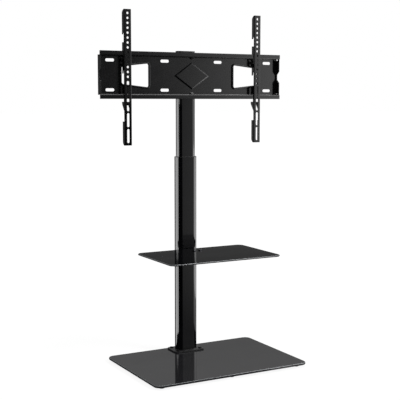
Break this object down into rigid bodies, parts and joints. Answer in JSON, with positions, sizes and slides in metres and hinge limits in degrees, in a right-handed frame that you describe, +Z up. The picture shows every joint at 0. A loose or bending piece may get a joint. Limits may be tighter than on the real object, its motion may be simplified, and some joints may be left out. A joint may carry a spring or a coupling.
{
  "type": "tv stand with mount",
  "caption": "Floor stand with a glass foot plate, a telescoping oval column, a glass shelf and a swivelling steel mount plate with sliding hook-on arms.",
  "frame": {"origin": "on the floor, under the centre of the foot plate", "axes": "+Z up, +Y towards the back (the column's side), +X to the right seen from the front, where the television faces -Y"},
  "size_m": [0.729, 0.415, 1.2566],
  "materials": {
    "black_glass": "opaque black tempered glass, polished, ground edges",
    "column_paint": "gloss black paint on steel tube",
    "powder_coat": "satin black powder coat on pressed steel",
    "black_zinc": "black zinc plated fasteners",
    "black_chrome": "glossy black caps",
    "black_plastic": "moulded, satin",
    "foot_rubber": "matt black rubber"
  },
  "bodies": {
    "stand": {"base_glass": "black_glass", "foot_1": "foot_rubber", "foot_2": "foot_rubber", "foot_3": "foot_rubber", "foot_4": "foot_rubber", "foot_5": "foot_rubber", "foot_6": "foot_rubber", "base_backing_plate": "black_zinc", "column_flange": "powder_coat", "flange_bolt_1": "black_zinc", "flange_bolt_2": "black_zinc", "flange_bolt_3": "black_zinc", "flange_bolt_4": "black_zinc", "lower_tube": "column_paint", "guide_collar": "black_plastic", "height_bolt_upper": "black_zinc", "height_bolt_lower": "black_zinc"},
    "shelf": {"shelf_glass": "black_glass", "shelf_pad": "foot_rubber", "shelf_bracket": "powder_coat", "shelf_screw_left": "black_chrome", "shelf_screw_right": "black_chrome", "shelf_nut_left": "black_zinc", "shelf_nut_right": "black_zinc", "shelf_clamp": "powder_coat", "clamp_bolt_left": "black_zinc", "clamp_bolt_right": "black_zinc", "clamp_nut_left": "black_zinc", "clamp_nut_right": "black_zinc"},
    "head": {"upper_tube": "column_paint", "guide_shoe": "black_plastic", "top_cap": "black_plastic", "swivel_yoke": "powder_coat", "yoke_bolt_1": "black_zinc", "yoke_bolt_2": "black_zinc", "yoke_bolt_3": "black_zinc", "yoke_bolt_4": "black_zinc", "pivot_pin": "black_zinc", "pivot_nut": "black_zinc", "pivot_washer_top": "black_plastic", "pivot_washer_bottom": "black_plastic"},
    "mount": {"swivel_knuckle": "powder_coat", "wall_plate": "powder_coat"},
    "left_arm": {"arm_left": "powder_coat"},
    "right_arm": {"arm_right": "powder_coat"},
    "left_lock": {"lock_left": "powder_coat", "lock_screw_left": "black_zinc", "lock_nut_left": "black_zinc"},
    "right_lock": {"lock_right": "powder_coat", "lock_screw_right": "black_zinc", "lock_nut_right": "black_zinc"}
  },
  "joints": [
    {"name": "height_slide", "type": "slide", "parent": "stand", "child": "head", "axis": [0, 0, 1], "range_m": [-0.15, 0.1]},
    {"name": "shelf_slide", "type": "slide", "parent": "stand", "child": "shelf", "axis": [0, 0, 1], "range_m": [-0.2, 0.15]},
    {"name": "swivel", "type": "hinge", "parent": "head", "child": "mount", "pos_m": [0, 0.128, 1.033], "axis": [0, 0, 1], "range_deg": [-35, 35]},
    {"name": "left_arm_slide", "type": "slide", "parent": "mount", "child": "left_arm", "axis": [1, 0, 0], "range_m": [-0.08, 0.21]},
    {"name": "right_arm_slide", "type": "slide", "parent": "mount", "child": "right_arm", "axis": [1, 0, 0], "range_m": [-0.21, 0.08]},
    {"name": "left_lock_slide", "type": "slide", "parent": "left_arm", "child": "left_lock", "axis": [0, 0, 1], "range_m": [-0.016, 0]},
    {"name": "right_lock_slide", "type": "slide", "parent": "right_arm", "child": "right_lock", "axis": [0, 0, 1], "range_m": [-0.016, 0]}
  ]
}
